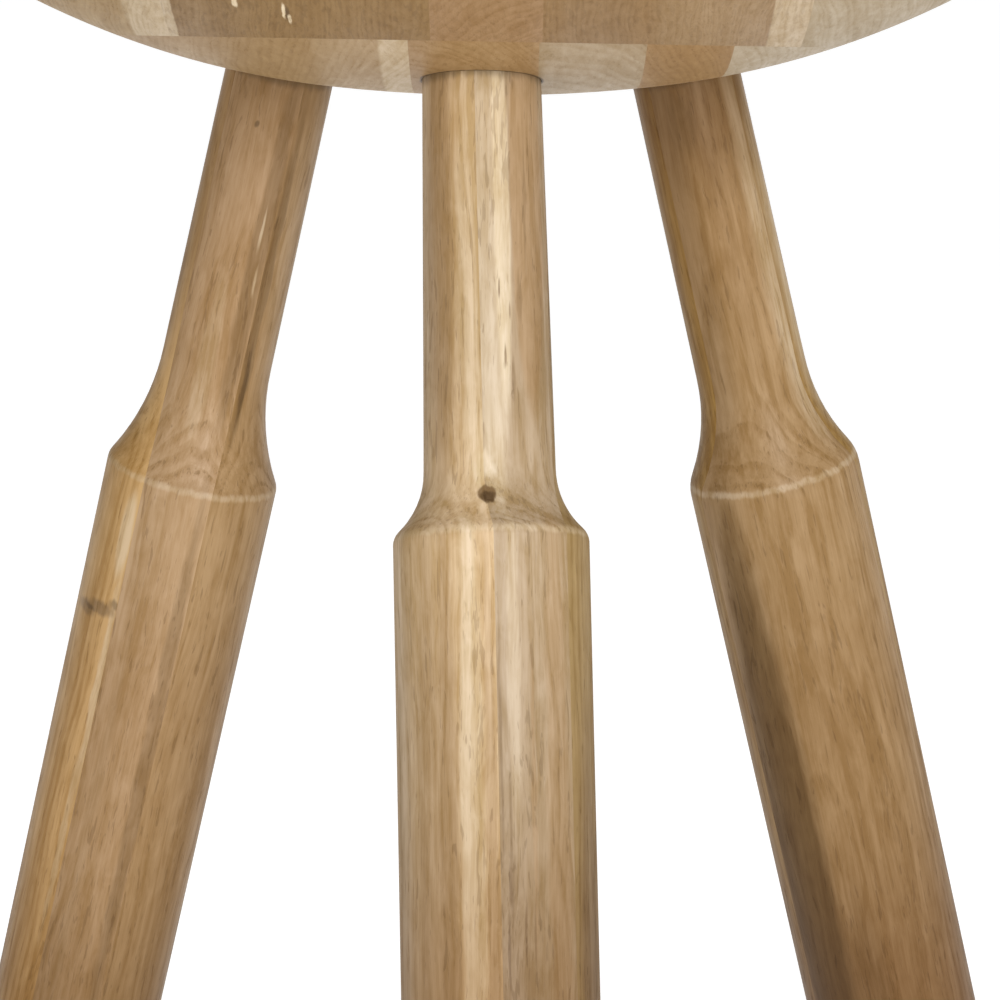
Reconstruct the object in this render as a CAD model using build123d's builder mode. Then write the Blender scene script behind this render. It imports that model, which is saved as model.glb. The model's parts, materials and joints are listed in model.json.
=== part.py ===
from build123d import *
import math
import os

# Three-legged oak stool: a domed seat turned from two layers of boards, and three turned legs,
# each glued up from three boards.
# Millimetres, +Z up. The floor is Z = 0, the seat's axis is the Z axis, and the front leg stands
# on the -Y side.

# Stock
total_height = 450.0
board_thickness = 28.0

# Seat: an almost flat crown at the bottom, a rounder flank and a tight rim. The plane between its
# two layers of boards dips a little towards +X and +Y.
crown_depth = 20.1
crown_radius = 566.0
crown_edge = 65.4
flank_radius = 330.0
flank_edge = 183.0
glue_dip_x = 1.0
glue_dip_y = 1.6
upper_joints = (-117.0, -22.0, 17.0, 112.0)
lower_joints = (-30.0, 16.0, 54.0, 86.0)

# Legs: measured along the axis of a leg, from the height of the glue joint downwards
splay = 15.2
leg_circle_radius = 89.4
leg_circle_offset = -4.7
neck_top_radius = 21.5
shank_radius = 35.1
foot_chamfer = 1.5

# Turned by hand, the three legs differ a little at the foot of the neck and in the cove below it:
# distance to the neck's end, the neck's radius there, the cove's radius, the shoulder's radius
front_cove = (154.2, 23.7, 30.2, 6.8)
left_cove = (134.5, 22.3, 95.9, 5.7)
right_cove = (138.0, 22.4, 79.0, 17.2)

# Joints between legs and seat: the neck stands in a shallow round housing, its tenon in a blind
# mortise above it
housing_end = 8.6
housing_clearance = 0.3
tenon_radius = 11.0
tenon_length = 26.0
tenon_chamfer = 1.0
tenon_clearance = 0.1
tenon_end_gap = 1.0

# Glides under the feet, and their nails
glide_radius = 15.0
glide_thickness = 5.0
glide_rounding = 1.2
nail_recess_radius = 4.5
nail_recess_depth = 2.2
nail_head_radius = 3.5
nail_head_thickness = 1.4
nail_radius = 1.25
nail_pilot_radius = 1.3
nail_length = 20.0
nail_point = 3.0
nail_pilot_gap = 1.0

# Each leg: name, direction in plan, sideways lean, turn of its boards about the leg's axis, how far
# the middle board lies off that axis, and its cove
legs = (
    ("front_leg", -90.0, 1.25, 105.0, 6.0, front_cove),
    ("left_leg", 150.0, 0.0, -151.0, -2.5, left_cove),
    ("right_leg", 30.0, 0.0, -117.0, 0.0, right_cove),
)

# Derived heights, and how far a cutting tool runs past the wood
glue_height = total_height - board_thickness
overrun = 5.0
housing_tool_length = 60.0


def sine(degrees):
    return math.sin(math.radians(degrees))


def cosine(degrees):
    return math.cos(math.radians(degrees))


def save(piece, name):
    piece.part.label = name
    export_step(piece.part, f"parts/{name}.step")


def leg_plane(azimuth, lean):
    """A plane at the top of a leg: its Z runs down the leg and its X points outwards."""
    outward = Vector(cosine(azimuth), sine(azimuth), 0)
    sideways = Vector(-sine(azimuth), cosine(azimuth), 0)
    down = Vector(0, 0, -1)
    run = outward * sine(splay) + down * cosine(splay)
    run = (run + sideways * (math.tan(math.radians(lean)) * cosine(splay))).normalized()
    across = (outward - run * outward.dot(run)).normalized()
    top = Vector(leg_circle_offset, 0, glue_height) + outward * leg_circle_radius
    return Plane(origin=top, x_dir=across, z_dir=run)


def section_plane(plane):
    """The plane through a leg's axis, with X across the leg and Y down it."""
    return Plane(origin=plane.origin, x_dir=plane.x_dir, z_dir=plane.x_dir.cross(plane.z_dir))


def strip_plane(plane, turn):
    """The leg's plane turned about the leg, so that its X is square to the glued boards."""
    sideways = plane.x_dir.cross(plane.z_dir)
    return Plane(
        origin=plane.origin,
        x_dir=plane.x_dir * cosine(turn) + sideways * sine(turn),
        z_dir=plane.z_dir,
    )


def foot_point(plane):
    """Where a leg's axis meets the top of its glide."""
    run = plane.z_dir
    length = (plane.origin.Z - glide_thickness) / -run.Z
    return plane.origin + run * length


def leg_planes():
    return [leg_plane(azimuth, lean) for name, azimuth, lean, *rest in legs]


os.makedirs("parts", exist_ok=True)

# --- Seat -----------------------------------------------------------------------------------

crown_angle = math.degrees(math.asin(crown_edge / crown_radius))
crown_centre = glue_height - crown_depth + crown_radius
crown_end_height = crown_centre - crown_radius * cosine(crown_angle)
flank_angle = math.degrees(math.asin((flank_edge - crown_edge) / flank_radius + sine(crown_angle)))
flank_centre_x = crown_edge - flank_radius * sine(crown_angle)
flank_centre_z = crown_end_height + flank_radius * cosine(crown_angle)
flank_end_height = flank_centre_z - flank_radius * cosine(flank_angle)
rim_radius = (total_height - flank_end_height) / (1 + cosine(flank_angle))
rim_centre_x = flank_edge - rim_radius * sine(flank_angle)
rim_centre_z = total_height - rim_radius
seat_radius = rim_centre_x + rim_radius

with BuildPart() as seat_turning:
    with BuildSketch(Plane.XZ):
        with BuildLine():
            CenterArc((0, crown_centre), crown_radius, -90, crown_angle)
            CenterArc((flank_centre_x, flank_centre_z), flank_radius, crown_angle - 90,
                      flank_angle - crown_angle)
            CenterArc((rim_centre_x, rim_centre_z), rim_radius, flank_angle - 90, 180 - flank_angle)
            Line((rim_centre_x, total_height), (0, total_height))
            Line((0, total_height), (0, crown_centre - crown_radius))
        make_face()
    revolve(axis=Axis.Z)
    # The housing for each neck and the blind mortise for its tenon
    mortise_start = housing_end - tenon_length - tenon_end_gap
    for plane in leg_planes():
        with BuildSketch(plane.offset(housing_end)):
            Circle(neck_top_radius + housing_clearance)
        extrude(amount=housing_tool_length, mode=Mode.SUBTRACT)
        with BuildSketch(plane.offset(mortise_start)):
            Circle(tenon_radius + tenon_clearance)
        extrude(amount=tenon_length + tenon_end_gap, mode=Mode.SUBTRACT)

glue_plane = Plane(origin=(0, 0, glue_height), z_dir=(sine(glue_dip_x), sine(glue_dip_y), 1))
saw_reach = seat_radius + overrun


def save_seat_layer(layer_name, side, joints):
    """Cut one layer out of the turning, and saw it into boards at the given X positions."""
    edges = (-saw_reach,) + joints + (saw_reach,)
    for number, (left, right) in enumerate(zip(edges, edges[1:]), start=1):
        with BuildPart() as seat_board:
            add(seat_turning.part)
            split(bisect_by=glue_plane, keep=side)
            with BuildSketch(Plane.XY):
                with Locations(((left + right) / 2, 0)):
                    Rectangle(right - left, 2 * saw_reach)
            extrude(amount=total_height + overrun, mode=Mode.INTERSECT)
        save(seat_board, f"{layer_name}_{number}")


save_seat_layer("seat_upper_board", Keep.TOP, upper_joints)
save_seat_layer("seat_lower_board", Keep.BOTTOM, lower_joints)

# --- Legs -----------------------------------------------------------------------------------

blank_end = total_height / cosine(splay) + shank_radius
tenon_top = housing_end - tenon_length


def build_leg_turning(plane, cove):
    """One whole turned leg, cut level at the foot, with the pilot hole for its nail."""
    neck_end, neck_end_radius, cove_radius, shoulder_radius = cove
    cove_centre_x = neck_end_radius + cove_radius
    shoulder_centre_x = shank_radius - shoulder_radius
    centre_gap = cove_radius + shoulder_radius
    cove_angle = math.degrees(math.acos((cove_centre_x - shoulder_centre_x) / centre_gap))
    shoulder_centre = neck_end + centre_gap * sine(cove_angle)
    foot = foot_point(plane)
    with BuildPart() as turning:
        with BuildSketch(section_plane(plane)):
            with BuildLine():
                Polyline((0, tenon_top), (tenon_radius - tenon_chamfer, tenon_top),
                         (tenon_radius, tenon_top + tenon_chamfer), (tenon_radius, housing_end),
                         (neck_top_radius, housing_end), (neck_end_radius, neck_end))
                CenterArc((cove_centre_x, neck_end), cove_radius, 180, -cove_angle)
                CenterArc((shoulder_centre_x, shoulder_centre), shoulder_radius, -cove_angle,
                          cove_angle)
                Polyline((shank_radius, shoulder_centre), (shank_radius, blank_end),
                         (0, blank_end), (0, tenon_top))
            make_face()
        revolve(axis=Axis(plane.origin, plane.z_dir))
        split(bisect_by=Plane.XY.offset(glide_thickness), keep=Keep.TOP)
        chamfer(turning.edges().group_by(Axis.Z)[0], foot_chamfer)
        with BuildSketch(Plane(origin=foot)):
            Circle(nail_pilot_radius)
        pilot_depth = nail_length - (glide_thickness - nail_recess_depth) + nail_pilot_gap
        extrude(amount=pilot_depth, mode=Mode.SUBTRACT)
    return turning.part


def save_leg(name, plane, turn, offset, cove):
    """Saw the turning into its three strips, along planes parallel to the leg's axis."""
    turning = build_leg_turning(plane, cove)
    reach_across = shank_radius + overrun
    cuts = (-reach_across, offset - board_thickness / 2, offset + board_thickness / 2, reach_across)
    for number, (low, high) in enumerate(zip(cuts, cuts[1:]), start=1):
        with BuildPart() as leg_strip:
            add(turning)
            with BuildSketch(strip_plane(plane, turn)):
                with Locations(((low + high) / 2, 0)):
                    Rectangle(high - low, 2 * reach_across)
            extrude(amount=blank_end, both=True, mode=Mode.INTERSECT)
        save(leg_strip, f"{name}_strip_{number}")


for name, azimuth, lean, turn, offset, cove in legs:
    save_leg(name, leg_plane(azimuth, lean), turn, offset, cove)

# --- Glides and nails -----------------------------------------------------------------------


def save_glide(name, foot):
    """A nylon disc under the foot, recessed for the head of its nail."""
    with BuildPart() as glide:
        with BuildSketch(Plane(origin=(foot.X, foot.Y, 0))):
            Circle(glide_radius)
        extrude(amount=glide_thickness)
        fillet(glide.edges().group_by(Axis.Z)[0], glide_rounding)
        with BuildSketch(Plane(origin=(foot.X, foot.Y, 0))):
            Circle(nail_recess_radius)
        extrude(amount=nail_recess_depth, mode=Mode.SUBTRACT)
        with BuildSketch(Plane(origin=(foot.X, foot.Y, 0))):
            Circle(nail_pilot_radius)
        extrude(amount=glide_thickness, mode=Mode.SUBTRACT)
    save(glide, f"{name}_glide")


def save_glide_nail(name, foot):
    """A steel nail: a flat head in the glide's recess, and a pointed shank up into the leg."""
    head_base = nail_recess_depth - nail_head_thickness
    tip = nail_recess_depth + nail_length
    with BuildPart() as glide_nail:
        with BuildSketch(Plane(origin=(foot.X, foot.Y, 0), x_dir=(1, 0, 0), z_dir=(0, -1, 0))):
            with BuildLine():
                Polyline((0, head_base), (nail_head_radius, head_base),
                         (nail_head_radius, nail_recess_depth), (nail_radius, nail_recess_depth),
                         (nail_radius, tip - nail_point), (0, tip), (0, head_base))
            make_face()
        revolve(axis=Axis((foot.X, foot.Y, 0), (0, 0, 1)))
    save(glide_nail, f"{name}_glide_nail")


for name, azimuth, lean, *rest in legs:
    foot = foot_point(leg_plane(azimuth, lean))
    short_name = name.removesuffix("_leg")
    save_glide(short_name, foot)
    save_glide_nail(short_name, foot)
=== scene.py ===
import json
import math
from typing import NamedTuple

import bpy
from mathutils import Matrix, Vector


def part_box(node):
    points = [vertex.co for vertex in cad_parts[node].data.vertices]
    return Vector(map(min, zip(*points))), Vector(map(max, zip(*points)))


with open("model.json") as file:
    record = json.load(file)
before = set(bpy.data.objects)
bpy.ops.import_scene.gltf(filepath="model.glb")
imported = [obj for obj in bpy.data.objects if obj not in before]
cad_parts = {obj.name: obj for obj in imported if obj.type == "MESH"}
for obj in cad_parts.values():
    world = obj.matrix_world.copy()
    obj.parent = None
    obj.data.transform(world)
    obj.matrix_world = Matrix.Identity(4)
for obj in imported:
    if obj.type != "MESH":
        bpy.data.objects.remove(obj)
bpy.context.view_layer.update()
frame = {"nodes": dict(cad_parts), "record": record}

# A three-legged stool of solid oak on a white floor. Every visible piece is a CAD body as it
# stands, and this script gives each board its own wood.

# --- The stool's own measures, in metres -------------------------------------------------------

MM = 0.001
mounts = {mount["name"]: Vector(mount["pos_m"]) for mount in frame["record"]["mounts"]}
BOARD_THICKNESS = 28 * MM
GLUE_HEIGHT = mounts["top_face"].z - BOARD_THICKNESS
LEG_CIRCLE_RADIUS = 89.4 * MM
LEG_CIRCLE_OFFSET = -4.7 * MM


class Leg(NamedTuple):
    """A leg's direction in plan and the turn of its boards, in degrees, and how far down the leg
    the arris of its shoulder lies, in millimetres."""
    azimuth: float
    turn: float
    arris: float


LEGS = {
    "front": Leg(azimuth=-90, turn=105, arris=178.5),
    "left": Leg(azimuth=150, turn=-151, arris=182.3),
    "right": Leg(azimuth=30, turn=-117, arris=181.0),
}


def leg_frame(name):
    """A matrix at the top of a leg: Z runs down its axis, and X is square to its glued boards."""
    azimuth = math.radians(LEGS[name].azimuth)
    turn = math.radians(LEGS[name].turn)
    outward = Vector((math.cos(azimuth), math.sin(azimuth), 0))
    top = Vector((LEG_CIRCLE_OFFSET, 0, GLUE_HEIGHT)) + outward * LEG_CIRCLE_RADIUS
    low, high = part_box(f"{name}_glide")
    foot = Vector(((low.x + high.x) / 2, (low.y + high.y) / 2, high.z))
    run = (foot - top).normalized()
    across = (outward - run * outward.dot(run)).normalized()
    sideways = across.cross(run)
    square = across * math.cos(turn) + sideways * math.sin(turn)
    matrix = Matrix((square, run.cross(square), run)).transposed().to_4x4()
    matrix.translation = top
    return matrix


def seat_frame():
    """A matrix at the seat's glue joint: Z is the grain, front to back, and Y points down."""
    matrix = Matrix(((1, 0, 0), (0, 0, -1), (0, 1, 0))).transposed().to_4x4()
    matrix.translation = (0, 0, GLUE_HEIGHT)
    return matrix


# --- Camera, lights and floor ------------------------------------------------------------------


def photo_camera():
    """The photograph's view: a long lens 1.5 m in front of the stool, looking a little down."""
    down = 8.337
    data = bpy.data.cameras.new("camera")
    data.sensor_width = 36
    data.lens = 139.37
    camera = bpy.data.objects.new("camera", data)
    camera.location = (2.23 * MM, -1501.9 * MM, GLUE_HEIGHT + 41.6 * MM)
    camera.rotation_euler = (math.radians(90 - down), 0, 0)
    bpy.context.scene.collection.objects.link(camera)
    bpy.context.scene.camera = camera


def soft_light(name, location, target, size, power):
    """A rectangular softbox that isn't seen itself."""
    data = bpy.data.lights.new(name, "AREA")
    data.shape = "RECTANGLE"
    data.size, data.size_y = size
    data.energy = power
    light = bpy.data.objects.new(name, data)
    light.location = location
    aim = Vector(target) - Vector(location)
    light.rotation_euler = aim.to_track_quat("-Z", "Y").to_euler()
    light.visible_camera = False
    bpy.context.scene.collection.objects.link(light)


def studio_floor():
    """A white floor, lit from below like a light table so that it stays clear of shadows."""
    half = 30.0
    corners = [(-half, -half, 0), (half, -half, 0), (half, half, 0), (-half, half, 0)]
    data = bpy.data.meshes.new("floor")
    data.from_pydata(corners, [], [(0, 1, 2, 3)])
    floor = bpy.data.objects.new("floor", data)
    bpy.context.scene.collection.objects.link(floor)
    material = bpy.data.materials.new("floor_white")
    material.use_nodes = True
    shader = material.node_tree.nodes["Principled BSDF"]
    shader.inputs["Base Color"].default_value = (0.35, 0.35, 0.35, 1)
    shader.inputs["Roughness"].default_value = 0.9
    shader.inputs["Specular IOR Level"].default_value = 0.0
    shader.inputs["Emission Color"].default_value = (1, 1, 1, 1)
    shader.inputs["Emission Strength"].default_value = 0.905
    data.materials.append(material)


# --- Shader nodes ------------------------------------------------------------------------------


class Nodes:
    """Short calls that add and link shader nodes in one tree."""

    def __init__(self, tree):
        self.tree = tree

    def add(self, kind, **settings):
        node = self.tree.nodes.new(kind)
        for key, value in settings.items():
            setattr(node, key, value)
        return node

    def put(self, socket, value):
        if isinstance(value, bpy.types.NodeSocket):
            self.tree.links.new(value, socket)
        else:
            socket.default_value = value

    def math(self, operation, a, b=0.0, clamp=False):
        node = self.add("ShaderNodeMath", operation=operation, use_clamp=clamp)
        self.put(node.inputs[0], a)
        self.put(node.inputs[1], b)
        return node.outputs[0]

    def total(self, *values):
        """The sum of two or more values."""
        result = values[0]
        for value in values[1:]:
            result = self.math("ADD", result, value)
        return result

    def times(self, a, b):
        return self.math("MULTIPLY", a, b)

    def vector(self, operation, a, b=(0, 0, 0)):
        node = self.add("ShaderNodeVectorMath", operation=operation)
        self.put(node.inputs[0], a)
        self.put(node.inputs[1], b)
        return node.outputs["Value"] if operation in ("LENGTH", "DOT_PRODUCT") else node.outputs[0]

    def over(self, vector, lengths):
        """A vector over three lengths, so that noise in it has about those sizes."""
        return self.vector("MULTIPLY", vector, [1 / length for length in lengths])

    def noise_node(self, vector, detail, rough=0.5, distortion=0.0, scale=1.0):
        node = self.add("ShaderNodeTexNoise", noise_dimensions="3D")
        self.put(node.inputs["Vector"], vector)
        self.put(node.inputs["Scale"], scale)
        self.put(node.inputs["Detail"], detail)
        self.put(node.inputs["Roughness"], rough)
        self.put(node.inputs["Distortion"], distortion)
        return node

    def noise(self, vector, detail, **settings):
        return self.noise_node(vector, detail, **settings).outputs["Fac"]

    def shake(self, vector, reach):
        """A random vector with a mean of zero, for moving places about by up to half of reach."""
        noise = self.noise_node(vector, 3.0).outputs["Color"]
        return self.vector("MULTIPLY", self.vector("SUBTRACT", noise, (0.5, 0.5, 0.5)), reach)

    def ramp(self, value, low, high, to_low=0.0, to_high=1.0):
        """A smooth step from to_low, at low, to to_high, at high."""
        node = self.add("ShaderNodeMapRange", interpolation_type="SMOOTHSTEP")
        self.put(node.inputs["Value"], value)
        self.put(node.inputs["From Min"], low)
        self.put(node.inputs["From Max"], high)
        self.put(node.inputs["To Min"], to_low)
        self.put(node.inputs["To Max"], to_high)
        return node.outputs["Result"]

    def mix(self, factor, a, b):
        node = self.add("ShaderNodeMix", data_type="RGBA")
        self.put(node.inputs[0], factor)
        self.put(node.inputs[6], a)
        self.put(node.inputs[7], b)
        return node.outputs[2]

    def combine(self, x, y, z):
        node = self.add("ShaderNodeCombineXYZ")
        for socket, value in zip(node.inputs, (x, y, z)):
            self.put(socket, value)
        return node.outputs[0]

    def separate(self, vector):
        node = self.add("ShaderNodeSeparateXYZ")
        self.put(node.inputs[0], vector)
        return node.outputs


def studio_world():
    """Soft light from behind, above and the right of the stool, and a pale band low all round."""
    world = bpy.data.worlds.new("studio")
    bpy.context.scene.world = world
    world.use_nodes = True
    n = Nodes(world.node_tree)
    toward = n.separate(n.add("ShaderNodeTexCoord").outputs["Generated"])
    behind = n.ramp(toward[1], 0.6, 0.95, 0.0, 0.35)
    right = n.ramp(toward[0], 0.2, 1.0, 0.0, 0.35)
    above = n.ramp(toward[2], 0.2, 1.0, 0.0, 0.3)
    low = n.ramp(toward[2], 0.17, 0.11, 0.02, 0.75)
    background = world.node_tree.nodes["Background"]
    background.inputs["Color"].default_value = (1, 1, 1, 1)
    n.put(background.inputs["Strength"], n.total(behind, right, above, low))


photo_camera()
bpy.context.scene.view_settings.view_transform = "Standard"
studio_floor()
soft_light("key", (0.42, -1.62, 0.78), (0, 0, 0.25), (0.5, 0.9), 28)
soft_light("overhead", (0, 0, 2.2), (0, 0, 0), (0.9, 0.9), 13)
studio_world()

# --- Oak ---------------------------------------------------------------------------------------


class Wood(NamedTuple):
    """One board's oak: its mean colour, the place of the tree's pith in the board's X and Y and
    the width of its rings, in millimetres, and the strength of the flecks on its ends."""
    colour: tuple
    pith: tuple
    ring_width: float
    flecks: float = 0.0


class Finish(NamedTuple):
    """How strongly the tone varies and the pores show, which depends on how the wood was cut."""
    contrast: float
    pores: float


TURNED = Finish(contrast=0.85, pores=0.75)
SANDED = Finish(contrast=0.52, pores=0.32)


def oak_group():
    """Solid oak in millimetres: Z along the grain, and the tree's pith parallel to it."""
    tree = bpy.data.node_groups.new("oak", "ShaderNodeTree")
    sockets = (
        ("Place", "NodeSocketVector", "INPUT"),
        ("Pith", "NodeSocketVector", "INPUT"),
        ("Ring width", "NodeSocketFloat", "INPUT"),
        ("Light", "NodeSocketColor", "INPUT"),
        ("Dark", "NodeSocketColor", "INPUT"),
        ("Pore", "NodeSocketColor", "INPUT"),
        ("Contrast", "NodeSocketFloat", "INPUT"),
        ("Pores", "NodeSocketFloat", "INPUT"),
        ("Flecks", "NodeSocketFloat", "INPUT"),
        ("Colour", "NodeSocketColor", "OUTPUT"),
        ("Height", "NodeSocketFloat", "OUTPUT"),
        ("Roughness", "NodeSocketFloat", "OUTPUT"),
    )
    for name, kind, side in sockets:
        tree.interface.new_socket(name=name, in_out=side, socket_type=kind)
    n = Nodes(tree)
    given = n.add("NodeGroupInput").outputs
    result = n.add("NodeGroupOutput").inputs

    # The grain waves slowly, and its rings lie round the pith
    place = given["Place"]
    bent = n.vector("ADD", place, n.shake(n.over(place, (40, 40, 150)), (14, 14, 0)))
    from_pith = n.vector("SUBTRACT", bent, given["Pith"])
    radius = n.vector("LENGTH", n.vector("MULTIPLY", from_pith, (1, 1, 0)))
    across = n.separate(from_pith)
    angle = n.math("ARCTAN2", across[0], across[1])
    along = n.separate(place)[2]

    # Growth rings of uneven width, each with its early wood
    uneven = n.combine(n.math("DIVIDE", radius, 9), 0.0, n.math("DIVIDE", along, 700))
    uneven = n.times(n.noise(uneven, 2.0), 4.0)
    ring = n.math("FRACT", n.total(n.math("DIVIDE", radius, given["Ring width"]), uneven))
    early = n.times(n.ramp(ring, 0.0, 0.15), n.ramp(ring, 0.25, 0.7, 1.0, 0.0))

    # Wide bands, long streaks, fine fibres and a cloudy tone
    bands = n.combine(n.math("DIVIDE", radius, 8), n.times(angle, 3), n.math("DIVIDE", along, 240))
    bands = n.noise(bands, 4.0, rough=0.6)
    streak = n.noise(n.over(bent, (2.2, 2.2, 75)), 3.0, rough=0.6)
    fibre = n.noise(n.over(bent, (0.6, 0.6, 24)), 3.0, rough=0.65)
    cloud = n.noise(n.over(bent, (5.5, 5.5, 19)), 3.0, rough=0.6, distortion=0.6)

    # Pores: dark dashes of two sizes, crowded in the early wood and more in some places
    crowd = n.times(n.noise(n.over(bent, (9, 9, 60)), 2.0), 0.16)
    crowd = n.total(n.times(early, 0.07), crowd)
    fine = n.noise(n.over(bent, (0.55, 0.55, 7)), 1.0)
    fine = n.ramp(fine, n.math("SUBTRACT", 0.76, crowd), n.math("SUBTRACT", 0.84, crowd))
    coarse = n.noise(n.over(bent, (1.5, 1.5, 12)), 2.0, distortion=0.4)
    coarse = n.ramp(coarse, n.math("SUBTRACT", 0.74, crowd), n.math("SUBTRACT", 0.80, crowd))
    pore = n.math("ADD", n.times(fine, 0.6), n.times(coarse, 0.8), clamp=True)
    pore = n.times(pore, given["Pores"])

    # Rays: thin radial sheets, light where the cut runs along them
    sheet = n.combine(n.times(angle, 60), n.math("DIVIDE", radius, 6), n.math("DIVIDE", along, 3.2))
    ray = n.times(n.ramp(n.noise(sheet, 2.0), 0.60, 0.72), 0.3)

    # Flecks: short strokes across the end of a board
    fleck = n.noise(n.over(bent, (1.3, 5.0, 9)), 2.0, distortion=0.8)
    pale_fleck = n.times(n.ramp(fleck, 0.54, 0.64), given["Flecks"])
    dark_fleck = n.times(n.ramp(fleck, 0.47, 0.37), given["Flecks"])

    # Each of these is centred on its mean, so that the board keeps its own mean colour
    parts = ((bands, 0.5, 2.2), (streak, 0.5, 1.6), (fibre, 0.5, 0.9), (cloud, 0.5, 1.7), (early, 0.3, 0.35))
    tone = n.total(*[n.times(n.math("SUBTRACT", part, mean), weight) for part, mean, weight in parts])
    tone = n.math("ADD", n.times(tone, given["Contrast"]), 0.5, clamp=True)
    colour = n.mix(tone, given["Light"], given["Dark"])
    colour = n.mix(n.times(pore, 0.6), colour, given["Pore"])
    colour = n.mix(n.times(ray, 0.4), colour, given["Light"])
    colour = n.mix(n.times(pale_fleck, 0.35), colour, given["Light"])
    colour = n.mix(n.times(dark_fleck, 0.32), colour, given["Pore"])
    n.put(result["Colour"], colour)

    # Pores are open and rays stand proud, and both dark wood and pores are duller
    height = n.math("SUBTRACT", n.times(fibre, 0.3), pore)
    n.put(result["Height"], n.total(height, n.times(ray, 0.15)))
    n.put(result["Roughness"], n.total(0.42, n.times(tone, 0.12), n.times(pore, 0.2)))
    return tree


OAK = oak_group()


class Mark(NamedTuple):
    """A knot, streak or patch in a board, or painted light or shade on it: its centre and size in the
    board's millimetres, its tint and strength, how soft its edge is and how ragged its outline."""
    centre: tuple
    size: tuple
    tint: tuple
    strength: float
    edge: float = 0.35
    ragged: float = 1.2


def paint(n, place, colour, grain, mark):
    """Lays one mark over a colour. The grain, as a ratio to the board's own colour, runs on."""
    shake = n.shake(n.over(place, (2.5, 2.5, 16)), (3 * mark.ragged, 3 * mark.ragged, 12 * mark.ragged))
    offset = n.vector("SUBTRACT", n.vector("ADD", place, shake), mark.centre)
    reach = n.vector("LENGTH", n.vector("DIVIDE", offset, mark.size))
    inside = n.ramp(reach, 1 + mark.edge, 1 - mark.edge)
    return n.mix(n.times(inside, mark.strength), colour, n.vector("MULTIPLY", grain, mark.tint))


def paint_light_along(n, place, colour, painted_light):
    """Paints light and shade along a board: changes a colour by each factor, not at all before its
    first Z, and fully from its second Z on."""
    along = n.separate(place)[2]
    for start, end, factor in painted_light:
        colour = n.mix(n.ramp(along, start, end), colour, n.vector("MULTIPLY", colour, factor))
    return colour


def oak_material(name, place, wood, finish, seed, marks=(), painted_light=()):
    """One board's oak. place is the board's matrix, in metres, and its Z is the grain."""
    material = bpy.data.materials.new(name)
    material.use_nodes = True
    n = Nodes(material.node_tree)
    mapping = n.add("ShaderNodeMapping", vector_type="TEXTURE")
    n.put(mapping.inputs["Vector"], n.add("ShaderNodeTexCoord").outputs["Object"])
    mapping.inputs["Location"].default_value = place.translation
    mapping.inputs["Rotation"].default_value = place.to_euler()
    mapping.inputs["Scale"].default_value = (MM, MM, MM)
    here = mapping.outputs["Vector"]

    # Boards come from places far apart in the tree
    spacing = 1370.0
    red, green, blue = wood.colour
    oak = n.add("ShaderNodeGroup")
    oak.node_tree = OAK
    n.put(oak.inputs["Place"], n.vector("ADD", here, (0, 0, spacing * seed)))
    oak.inputs["Pith"].default_value = (*wood.pith, 0)
    oak.inputs["Ring width"].default_value = wood.ring_width
    oak.inputs["Light"].default_value = (red * 1.19, green * 1.25, blue * 1.40, 1)
    oak.inputs["Dark"].default_value = (red * 0.81, green * 0.75, blue * 0.60, 1)
    oak.inputs["Pore"].default_value = (red * 0.42, green * 0.36, blue * 0.28, 1)
    oak.inputs["Contrast"].default_value = finish.contrast
    oak.inputs["Pores"].default_value = finish.pores
    oak.inputs["Flecks"].default_value = wood.flecks

    surface = oak.outputs["Colour"]
    grain = n.vector("DIVIDE", surface, wood.colour)
    for mark in marks:
        surface = paint(n, here, surface, grain, mark)
    # Painted light and shade along the board
    surface = paint_light_along(n, here, surface, painted_light)
    bump = n.add("ShaderNodeBump")
    bump.inputs["Strength"].default_value = 0.3
    bump.inputs["Distance"].default_value = 0.2 * MM
    n.put(bump.inputs["Height"], oak.outputs["Height"])
    shader = material.node_tree.nodes["Principled BSDF"]
    n.put(shader.inputs["Base Color"], surface)
    n.put(shader.inputs["Roughness"], oak.outputs["Roughness"])
    n.put(shader.inputs["Normal"], bump.outputs["Normal"])
    shader.inputs["IOR"].default_value = 1.5
    shader.inputs["Specular IOR Level"].default_value = 0.17
    shader.inputs["Coat Weight"].default_value = 0.03
    shader.inputs["Coat Roughness"].default_value = 0.3
    return material


def dress(node, material):
    """Gives a CAD body one material."""
    data = frame["nodes"][node].data
    data.materials.clear()
    data.materials.append(material)


# --- Marks in the wood -------------------------------------------------------------------------

# Tints of the marks, dark to light; the darkest serves for knots and for painted shade
KNOT_AND_SHADE = (0.060, 0.032, 0.012)
UMBER = (0.088, 0.044, 0.010)
BROWN = (0.145, 0.083, 0.032)
KNOT_RING = (0.145, 0.085, 0.038)
TAN = (0.275, 0.172, 0.083)
PALE = (0.50, 0.39, 0.25)
LIGHT = (0.55, 0.44, 0.29)
CREAM = (0.70, 0.57, 0.38)


def tear(centre, size, strength, ragged=0.9):
    """A short dark line along the grain."""
    return Mark(centre, size, BROWN, strength, edge=0.5, ragged=ragged)


# A small knot on the joint of the front leg's first two boards, with paler wood above it
PIN_KNOT = (
    Mark((-8.6, 23, 157), (3.2, 12, 5), PALE, 0.55),
    Mark((-7.7, 24.9, 165.8), (3.1, 12, 3.2), KNOT_RING, 0.9, edge=0.15, ragged=0.25),
    Mark((-7.5, 24.9, 166.8), (2.4, 12, 1.9), KNOT_AND_SHADE, 0.8, ragged=0.3),
)

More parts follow.
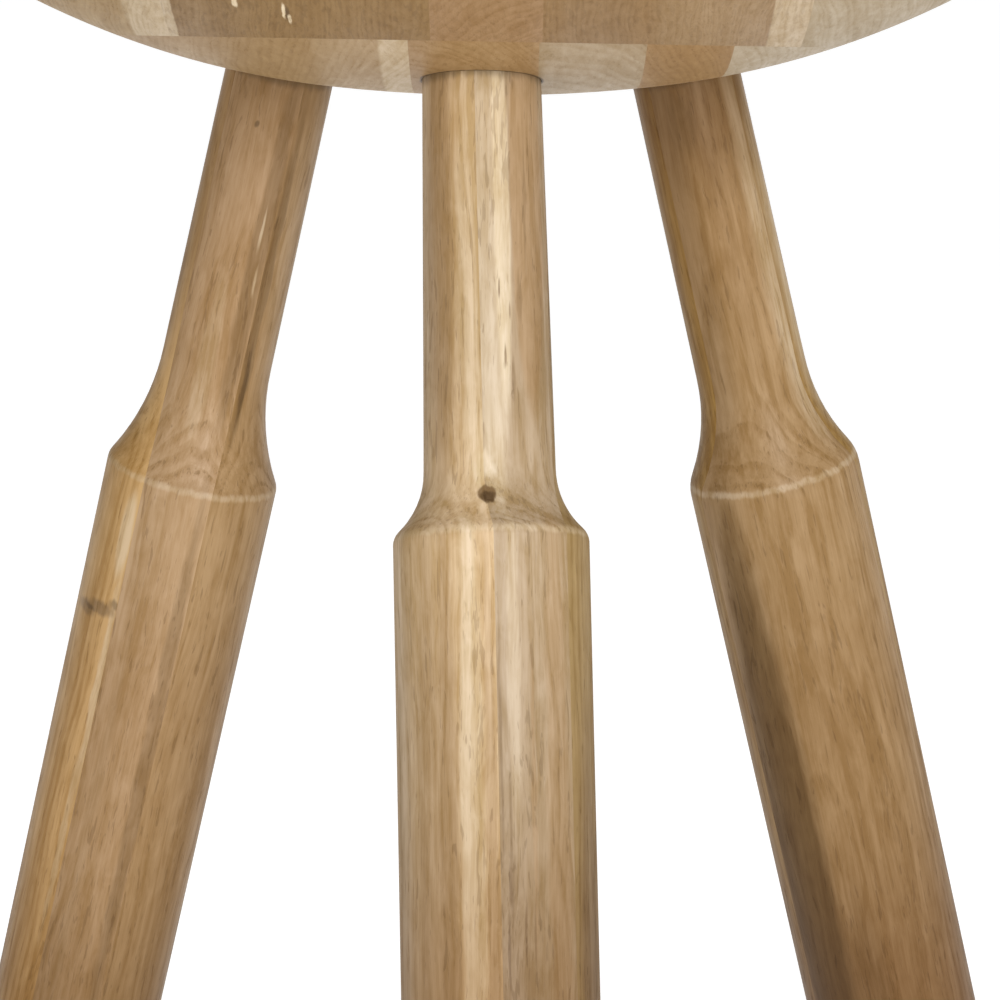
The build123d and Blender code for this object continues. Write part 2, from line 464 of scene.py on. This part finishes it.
# The marks of each board. On a leg, Z is the distance down it from the seat's glue joint
MARKS = {
    "front_leg_strip_1": (
        # Brown heartwood at the left, and a pale streak beside the joint
        Mark((-24, 26, 330), (2.8, 8, 160), TAN, 0.6),
        Mark((-29, 20, 300), (3.4, 8, 120), TAN, 0.4),
        Mark((-16.5, 31, 290), (3.8, 8, 130), PALE, 0.5),
        Mark((-10.5, 33, 300), (1.8, 8, 130), TAN, 0.4),
        Mark((-20, 12, 70), (4, 9, 95), TAN, 0.7),
        Mark((-9, 20, 85), (6, 12, 90), PALE, 0.45),
    ) + PIN_KNOT,
    "front_leg_strip_2": (
        # Sapwood down the middle of the neck with a painted highlight over it, and brown wood at its right
        Mark((-4, 22, 80), (5, 12, 110), PALE, 0.5),
        # A painted highlight down the middle of the neck
        Mark((0.6, 22, 60), (3.0, 14, 75), LIGHT, 0.6, edge=0.2, ragged=0.4),
        Mark((11, 20, 55), (7.2, 16, 80), TAN, 0.8, edge=0.12, ragged=0.5),
        Mark((-2, 35, 225), (2.2, 8, 60), PALE, 0.25),
        Mark((4.5, 34.5, 270), (0.7, 8, 55), TAN, 0.5),
        Mark((14, 31, 290), (4.5, 9, 130), TAN, 0.55),
        tear((-5.5, 34, 325), (0.45, 8, 12), 0.7),
        tear((-4.6, 34, 303), (0.5, 8, 8), 0.6),
        tear((0.5, 34.5, 318), (0.5, 8, 9), 0.6),
        tear((3.8, 34.5, 322), (0.5, 8, 8), 0.5),
        tear((-7, 33.5, 250), (0.5, 8, 40), 0.5, ragged=0.6),
        tear((-4, 34, 290), (0.5, 8, 30), 0.35, ragged=0.6),
        tear((-1.0, 23, 92), (0.35, 6, 3.0), 0.7, ragged=0.4),
        tear((0.5, 23, 116), (0.4, 6, 4.0), 0.7, ragged=0.4),
        tear((2.6, 22, 100), (0.35, 6, 3.0), 0.6, ragged=0.4),
        tear((6.5, 21, 96), (0.9, 6, 9), 0.5, ragged=0.8),
        tear((9.5, 20, 60), (0.6, 6, 20), 0.4, ragged=0.8),
        tear((3.4, 22, 125), (0.8, 6, 8), 0.45, ragged=0.8),
    ) + PIN_KNOT,
    "front_leg_strip_3": (
        Mark((27, 22, 330), (5, 12, 80), BROWN, 0.55),
    ),
    "left_leg_strip_1": (
        # Pale streaks beside the joint, and a long knot across the board
        Mark((-19.5, 29, 207), (2.6, 8, 18), PALE, 0.45, edge=0.3, ragged=0.5),
        Mark((-19, 8, 50), (6, 14, 75), BROWN, 0.35),
        Mark((-17.5, 30, 275), (1.5, 8, 45), PALE, 0.4),
        Mark((-19, 29, 345), (1.3, 8, 40), PALE, 0.35),
        Mark((-29, 18, 243.6), (4.5, 9, 2.8), KNOT_RING, 0.6, edge=0.4, ragged=0.35),
        Mark((-22.5, 25, 240.3), (6.0, 9, 2.8), KNOT_RING, 0.65, edge=0.4, ragged=0.35),
        Mark((-17, 30, 236.8), (3.4, 7, 1.8), KNOT_AND_SHADE, 0.5, edge=0.5, ragged=0.35),
        Mark((-27.5, 19, 242.8), (2.6, 7, 1.0), KNOT_AND_SHADE, 0.5, edge=0.5, ragged=0.3),
    ),
    "left_leg_strip_2": (
        Mark((8.5, 33, 300), (3.0, 9, 120), BROWN, 0.5),
        Mark((-9, 33, 330), (2.0, 9, 90), TAN, 0.4),
        Mark((8, 19, 90), (3.6, 8, 75), BROWN, 0.55),
        Mark((-3, 22, 130), (3.5, 10, 35), PALE, 0.2),
        Mark((7.5, 19, 74), (0.55, 6, 8), CREAM, 0.32, edge=0.5, ragged=0.5),
        Mark((9.0, 19, 95), (0.5, 6, 6), CREAM, 0.28, edge=0.5, ragged=0.5),
        Mark((-3.4, 21, 32), (1.0, 6, 1.3), KNOT_AND_SHADE, 0.55, edge=0.4, ragged=0.2),
    ),
    "left_leg_strip_3": (
        Mark((13.5, 18, 100), (1.8, 8, 70), BROWN, 0.75),
        Mark((20, 8, 70), (6, 14, 70), PALE, 0.15),
        Mark((13.8, 19, 137), (0.8, 8, 16), KNOT_AND_SHADE, 0.45, edge=0.4, ragged=0.5),
    ),
    "right_leg_strip_2": (
        # Painted light at the right of the neck
        Mark((4, -24, 75), (14, 9, 85), PALE, 0.5, edge=0.3, ragged=0.3),
    ),
    "right_leg_strip_3": (
        # Dark heartwood down the left side, and painted light at the right of the neck
        Mark((24, 26, 350), (13, 12.5, 165), UMBER, 0.85, edge=0.3),
        Mark((14, 17, 85), (14, 11, 95), BROWN, 0.4),
        # Painted light at the right of the neck
        Mark((12, -19, 80), (12, 9, 95), PALE, 0.4),
        Mark((18, 6, 30), (5, 6, 14), BROWN, 0.5),
        Mark((31, 8, 420), (8, 8, 60), BROWN, 0.35),
    ),
    "seat_upper_board_1": (
        Mark((-123, -12, -100), (9.0, 60, 300), PALE, 0.65, edge=0.15, ragged=0.5),
    ),
    "seat_upper_board_2": (
        # Torn grain with pale filler at the front, and pale wood beside the first joint
        Mark((-72.5, -14.5, -156), (0.8, 4.5, 8), CREAM, 0.9, edge=0.3, ragged=0.6),
        Mark((-71.2, -14.0, -154), (0.7, 4.0, 7), KNOT_AND_SHADE, 0.6, edge=0.4, ragged=0.5),
        Mark((-70.6, -11.5, -150), (0.7, 3.0, 4), CREAM, 0.7, edge=0.3, ragged=0.5),
        Mark((-89.6, -17.5, -154), (1.0, 3.0, 5), CREAM, 0.8, edge=0.3, ragged=0.5),
        Mark((-116.5, -12, -100), (3.2, 60, 300), PALE, 0.65, edge=0.1, ragged=0.3),
    ),
    "seat_upper_board_4": (
        # A band of sapwood along the last joint
        Mark((105, -12, -120), (7.2, 60, 400), PALE, 0.65, edge=0.06, ragged=0.2),
        Mark((76, -12, -120), (20, 60, 400), PALE, 0.14, edge=0.2, ragged=0.4),
        Mark((36, -12, -140), (12, 60, 400), BROWN, 0.2),
    ),
    "seat_lower_board_1": (
        Mark((-35, 4, -110), (5.5, 60, 400), PALE, 0.7, edge=0.15, ragged=0.3),
        Mark((-52, 4, -110), (12, 60, 400), PALE, 0.15, edge=0.2, ragged=0.4),
    ),
}


# Painted light and shade along each leg: painted light round the shoulder, painted shade at the
# foot and, on the two back legs, painted shadow of the seat at the top
PAINTED_LIGHT_ALONG_LEGS = {
    "front": (
        (115, 160, (1.16, 1.19, 1.24)),
        (185, 260, (0.86, 0.84, 0.81)),
        (255, 350, (0.70, 0.62, 0.52)),
    ),
    "left": (
        (60, 0, (0.92, 0.90, 0.85)),
        (120, 160, (1.08, 1.11, 1.15)),
        (200, 280, (0.93, 0.90, 0.87)),
        (330, 430, (0.71, 0.66, 0.57)),
    ),
    "right": (
        (75, 25, (0.72, 0.66, 0.58)),
        (70, 140, (1.14, 1.19, 1.28)),
        (200, 290, (0.88, 0.84, 0.78)),
        (300, 430, (0.66, 0.57, 0.48)),
    ),
}


def painted_light_rings(leg):
    """Rings on a leg: a painted highlight along the arris of the shoulder, and painted shade round
    the neck where it enters the seat."""
    all_round = 90
    joint_shade = 11
    return (
        # Painted highlight along the arris of the shoulder
        Mark((0, 0, leg.arris), (all_round, all_round, 1.3), PALE, 0.28, edge=0.6, ragged=0.25),
        # Painted shade round the neck where it enters the seat
        Mark((0, 0, joint_shade), (all_round, all_round, 3.6), KNOT_AND_SHADE, 0.5, edge=0.5, ragged=0.3),
    )


def paint_socket_shade(material):
    """Painted shade: a thin dark line on the seat around each leg, of uneven width."""
    neck_radius = 22 * MM
    ragged_width = 2 * MM
    soft_edge = 0.9 * MM
    n = Nodes(material.node_tree)
    base = material.node_tree.nodes["Principled BSDF"].inputs["Base Color"]
    coordinates = n.add("ShaderNodeTexCoord").outputs["Object"]
    colour = base.links[0].from_socket
    for leg in LEGS:
        matrix = leg_frame(leg)
        run = matrix.col[2].to_3d()
        offset = n.vector("SUBTRACT", coordinates, matrix.translation)
        step = n.add("ShaderNodeVectorMath", operation="SCALE")
        n.put(step.inputs[0], run)
        n.put(step.inputs["Scale"], n.vector("DOT_PRODUCT", offset, run))
        gap = n.vector("LENGTH", n.vector("SUBTRACT", offset, step.outputs[0]))
        ragged = n.noise(n.vector("MULTIPLY", coordinates, (120, 120, 120)), 3.0)
        reach = n.total(neck_radius, n.times(ragged, ragged_width))
        inside = n.ramp(gap, reach, n.math("SUBTRACT", reach, soft_edge))
        colour = n.mix(n.times(inside, 0.8), colour, (*KNOT_AND_SHADE, 1))
    n.put(base, colour)


# --- The boards --------------------------------------------------------------------------------

# The three boards of each leg. The back legs' darker colours are partly painted shade
STRIPS = {
    "front_leg_strip_1": Wood((0.41, 0.28, 0.15), (-60, 30), 4.0),
    "front_leg_strip_2": Wood((0.28, 0.195, 0.11), (8, -40), 4.0),
    "front_leg_strip_3": Wood((0.21, 0.13, 0.045), (70, 30), 3.5),
    "left_leg_strip_1": Wood((0.395, 0.23, 0.085), (-70, 20), 4.5),
    "left_leg_strip_2": Wood((0.315, 0.195, 0.095), (0, -50), 4.0),
    "left_leg_strip_3": Wood((0.26, 0.155, 0.065), (70, 40), 4.0),
    "right_leg_strip_1": Wood((0.27, 0.16, 0.07), (-60, 10), 3.5),
    "right_leg_strip_2": Wood((0.225, 0.12, 0.025), (0, 60), 3.5),
    "right_leg_strip_3": Wood((0.245, 0.145, 0.06), (-30, -20), 3.5),
}

# The boards of the seat's two layers
BOARDS = {
    "seat_upper_board_1": Wood((0.275, 0.165, 0.05), (200, 60), 2.5, flecks=0.4),
    "seat_upper_board_2": Wood((0.21, 0.12, 0.04), (260, 10), 2.2, flecks=0.75),
    "seat_upper_board_3": Wood((0.265, 0.155, 0.07), (30, 40), 2.5, flecks=0.4),
    "seat_upper_board_4": Wood((0.225, 0.13, 0.05), (-240, -10), 2.4, flecks=0.55),
    "seat_upper_board_5": Wood((0.325, 0.245, 0.145), (40, 30), 3.0, flecks=0.3),
    "seat_lower_board_1": Wood((0.285, 0.175, 0.07), (10, 50), 3.0, flecks=0.2),
    "seat_lower_board_2": Wood((0.285, 0.17, 0.07), (-30, 40), 2.5, flecks=0.2),
    "seat_lower_board_3": Wood((0.315, 0.225, 0.125), (20, 60), 3.0, flecks=0.2),
    "seat_lower_board_4": Wood((0.26, 0.145, 0.05), (0, 50), 3.0, flecks=0.3),
    "seat_lower_board_5": Wood((0.35, 0.27, 0.17), (30, 40), 3.0, flecks=0.2),
}

for seed, (node, wood) in enumerate(STRIPS.items(), start=1):
    leg = node.split("_")[0]
    # Each leg's boards get painted highlight and shade rings, and painted light and shade along the leg
    marks = MARKS.get(node, ()) + painted_light_rings(LEGS[leg])
    material = oak_material(node + "_oak", leg_frame(leg), wood, TURNED, seed, marks, PAINTED_LIGHT_ALONG_LEGS[leg])
    dress(node, material)

for seed, (node, wood) in enumerate(BOARDS.items(), start=20):
    material = oak_material(node + "_oak", seat_frame(), wood, SANDED, seed, MARKS.get(node, ()))
    # The lower boards get painted shade round each leg
    if "lower" in node:
        paint_socket_shade(material)
    dress(node, material)

# --- Glides and nails --------------------------------------------------------------------------


def plain_material(name, colour, roughness, metallic=0.0):
    """An even material with a fine grain in its colour and its shine."""
    material = bpy.data.materials.new(name)
    material.use_nodes = True
    n = Nodes(material.node_tree)
    shader = material.node_tree.nodes["Principled BSDF"]
    grain = n.noise(n.add("ShaderNodeTexCoord").outputs["Object"], 3.0, scale=900.0)
    darker = [channel * 0.85 for channel in colour]
    n.put(shader.inputs["Base Color"], n.mix(grain, (*colour, 1), (*darker, 1)))
    n.put(shader.inputs["Roughness"], n.ramp(grain, 0.0, 1.0, roughness - 0.06, roughness + 0.06))
    shader.inputs["Metallic"].default_value = metallic
    return material


nylon = plain_material("nylon", (0.80, 0.79, 0.74), 0.5)
steel = plain_material("steel", (0.55, 0.55, 0.56), 0.35, metallic=1.0)
for leg in LEGS:
    dress(f"{leg}_glide", nylon)
    dress(f"{leg}_glide_nail", steel)
